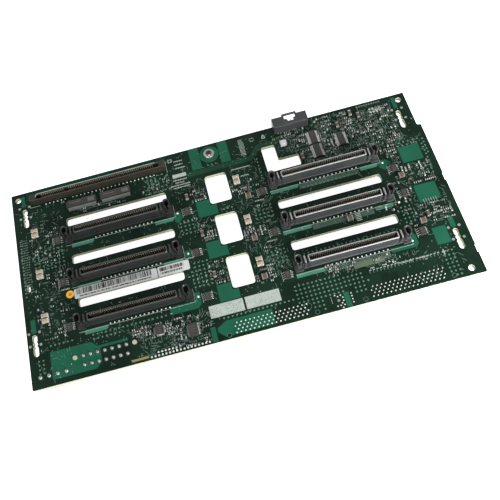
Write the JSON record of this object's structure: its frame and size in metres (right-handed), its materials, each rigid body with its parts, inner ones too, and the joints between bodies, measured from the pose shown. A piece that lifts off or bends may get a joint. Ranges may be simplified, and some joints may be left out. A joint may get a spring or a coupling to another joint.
{
  "type": "drive backplane board",
  "caption": "Flat server backplane board with rows of slotted drive receptacles, air vents, a card slot, a latch connector and power and ribbon headers behind",
  "frame": {"origin": "centre of the overall outline, on the plane of the lowest face of the rear power header", "axes": "X along the board's length, Y from the ribbon header edge to the latch connector edge, Z out of the component side"},
  "size_m": [0.263, 0.134, 0.0242],
  "materials": {
    "laminate": "dark green solder mask over copper, cream edges",
    "connector_black": "black glass-filled moulding",
    "connector_brown": "dark brown glass-filled moulding",
    "package_black": "dark moulded chip package",
    "natural_nylon": "natural nylon moulding",
    "contact_metal": "plated contact springs",
    "tinned_metal": "tinned pins and solder",
    "bush_metal": "plated steel",
    "lamp_white": "milky lens moulding",
    "capacitor_brown": "brown chip ceramic",
    "fuse_white": "white ceramic body",
    "label_paper": "white paper label",
    "dot_yellow": "yellow paper dot"
  },
  "bodies": {
    "root": {"circuit_board": "laminate", "drive_receptacle_1": "connector_black", "drive_receptacle_2": "connector_black", "drive_receptacle_3": "connector_black", "drive_receptacle_4": "connector_black", "drive_receptacle_5": "connector_black", "drive_receptacle_6": "connector_black", "drive_contacts_1": "contact_metal", "drive_contacts_2": "contact_metal", "drive_contacts_3": "contact_metal", "drive_contacts_4": "contact_metal", "drive_contacts_5": "contact_metal", "drive_contacts_6": "contact_metal", "card_slot_housing": "connector_brown", "card_slot_contacts": "contact_metal", "latch_connector": "connector_black", "latch_contacts": "contact_metal", "disk_power_header": "natural_nylon", "disk_power_pins": "tinned_metal", "board_power_header": "natural_nylon", "board_power_pins": "tinned_metal", "ribbon_header_left": "connector_black", "ribbon_header_right": "connector_black", "mounting_bush": "bush_metal", "serial_label": "label_paper", "part_label": "label_paper", "inspection_dot": "dot_yellow", "bus_switch_chips": "package_black", "sensor_chips": "package_black", "terminator_chips": "package_black", "logic_chip": "package_black", "scan_chip": "package_black", "status_lamps": "lamp_white", "bulk_capacitors": "capacitor_brown", "slim_capacitors": "capacitor_brown", "line_fuse": "fuse_white"}
  },
  "joints": []
}
